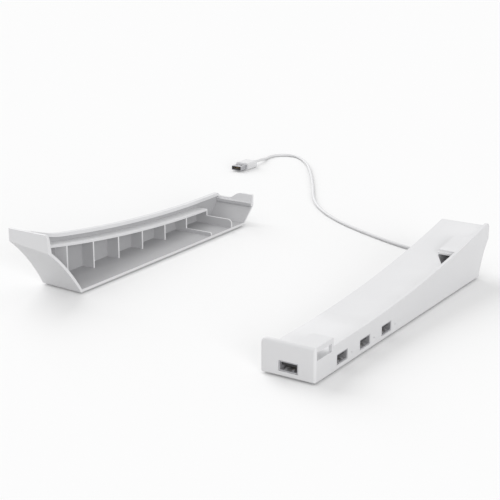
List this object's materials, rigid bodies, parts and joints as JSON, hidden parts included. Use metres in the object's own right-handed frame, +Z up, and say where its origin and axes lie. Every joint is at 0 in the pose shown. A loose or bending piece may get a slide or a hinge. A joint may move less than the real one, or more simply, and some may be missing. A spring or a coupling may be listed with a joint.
{
  "type": "console stand",
  "caption": "White console stand of two dished side brackets, one with a data hub, cord and plug and one plain.",
  "frame": {"origin": "middle of the two brackets' footprint, on the surface that they stand on", "axes": "+Y along the brackets from the hub's front face, +X from the plain bracket to the hub bracket, +Z up"},
  "size_m": [0.3812, 0.5688, 0.0554],
  "materials": {
    "white_shell": "satin moulded",
    "foot_rubber": "matte",
    "screw_steel": "plain zinc",
    "board_green": "solder mask",
    "chip_black": "matte moulded",
    "part_metal": "satin",
    "header_white": "moulded",
    "light_clear": "clear",
    "port_metal": "nickel plated",
    "contact_gold": "gold plated",
    "cord_white": "smooth soft jacket",
    "plug_metal": "nickel plated"
  },
  "bodies": {
    "root": {"hub_upper_housing": "white_shell", "hub_bottom_cover": "white_shell", "plain_bracket": "white_shell", "hub_foot_1": "foot_rubber", "hub_foot_2": "foot_rubber", "hub_foot_3": "foot_rubber", "hub_foot_4": "foot_rubber", "plain_foot_1": "foot_rubber", "plain_foot_2": "foot_rubber", "plain_foot_3": "foot_rubber", "plain_foot_4": "foot_rubber", "cover_screws": "screw_steel", "board_screws": "screw_steel", "circuit_board": "board_green", "controller_chip": "chip_black", "port_tongue_1": "chip_black", "port_tongue_2": "chip_black", "port_tongue_3": "chip_black", "port_tongue_4": "chip_black", "plug_tongue": "chip_black", "crystal": "part_metal", "capacitors": "part_metal", "lead_header": "header_white", "port_light_1": "light_clear", "port_light_2": "light_clear", "port_light_3": "light_clear", "port_shell_1": "port_metal", "port_shell_2": "port_metal", "port_shell_3": "port_metal", "port_shell_4": "port_metal", "port_contacts_1": "contact_gold", "port_contacts_2": "contact_gold", "port_contacts_3": "contact_gold", "port_contacts_4": "contact_gold", "plug_contacts": "contact_gold", "strain_relief": "cord_white", "inner_lead": "cord_white", "cord": "cord_white", "plug_overmould": "cord_white", "plug_shell": "plug_metal"}
  },
  "joints": []
}
